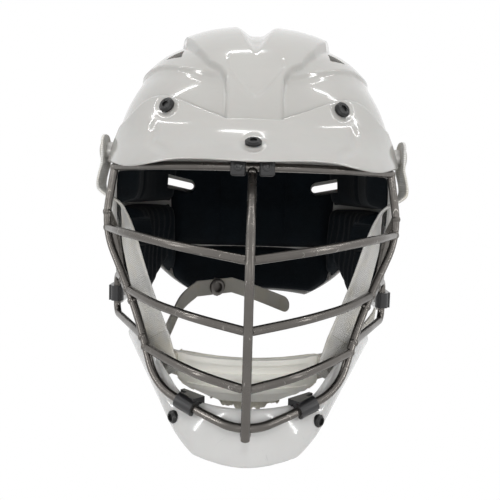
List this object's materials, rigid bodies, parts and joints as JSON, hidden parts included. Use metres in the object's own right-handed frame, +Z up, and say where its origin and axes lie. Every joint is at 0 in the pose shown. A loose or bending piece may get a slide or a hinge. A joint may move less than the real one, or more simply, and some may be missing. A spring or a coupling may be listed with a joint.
{
  "type": "lacrosse helmet",
  "caption": "White hard-shell lacrosse helmet with visor, wire face mask, chin guard, foam liner and chin strap with cup.",
  "frame": {"origin": "bottom centre of the whole helmet as it stands on its chin guard and nape", "axes": "+Z up, the face looks along -Y, +X to the picture's right"},
  "size_m": [0.2312, 0.3382, 0.2541],
  "materials": {
    "white_shell": "gloss moulded white",
    "guard_white": "gloss moulded white",
    "mask_wire": "dark worn satin steel",
    "black_plastic": "satin black",
    "black_screw": "black oxide",
    "steel_nut": "plain",
    "liner_foam": "black knit over foam",
    "cup_plastic": "off-white satin",
    "cup_pad": "off-white brushed fabric",
    "white_webbing": "white woven webbing",
    "beige_strap": "grey-beige webbing",
    "snap_metal": "dull plated",
    "grey_plastic": "satin grey-white"
  },
  "bodies": {
    "helmet": {"shell": "white_shell", "visor": "white_shell", "chin_guard": "guard_white", "visor_screws": "black_screw", "visor_nuts": "steel_nut", "mask_top_bar": "mask_wire", "mask_rim": "mask_wire", "mask_centre_bar": "mask_wire", "mask_upper_bar": "mask_wire", "mask_middle_bar": "mask_wire", "mask_lower_bar": "mask_wire", "mask_side_wires": "mask_wire", "mask_side_loops": "mask_wire", "top_clip": "black_plastic", "chin_clips": "black_plastic", "chin_screws": "black_screw", "side_clips": "black_plastic", "side_screws": "black_screw", "side_nuts": "steel_nut", "brow_pad": "liner_foam", "side_pad_left": "liner_foam", "side_pad_right": "liner_foam", "rear_pad": "liner_foam", "nape_pad": "liner_foam", "crown_pad": "liner_foam", "ear_pads": "liner_foam", "high_snap_studs": "snap_metal", "low_snap_studs": "snap_metal", "low_strap_right": "beige_strap", "low_buckle_right": "grey_plastic"},
    "chin_strap": {"chin_cup": "cup_plastic", "chin_cup_pad": "cup_pad", "cup_rivets": "snap_metal", "high_strap_left": "white_webbing", "high_strap_right": "white_webbing", "high_snap_sockets": "grey_plastic"},
    "low_strap": {"low_strap_left": "beige_strap"},
    "low_buckle": {"low_buckle_left": "grey_plastic"}
  },
  "joints": [
    {"name": "chin_strap_swing", "type": "hinge", "parent": "helmet", "child": "chin_strap", "pos_m": [-0.0021, -0.02744, 0.16587], "axis": [1, 0, 0], "range_deg": [0, 8], "deforming": ["low_strap_right"]},
    {"name": "low_strap_swing", "type": "hinge", "parent": "chin_strap", "child": "low_strap", "pos_m": [-0.05559, -0.09067, 0.03214], "axis": [0.7133, 0.6851, -0.148], "range_deg": [-4, 8]},
    {"name": "low_buckle_slide", "type": "slide", "parent": "low_strap", "child": "low_buckle", "axis": [0.7759, 0.6213, -0.1094], "range_m": [-0.006, 0.006]}
  ]
}
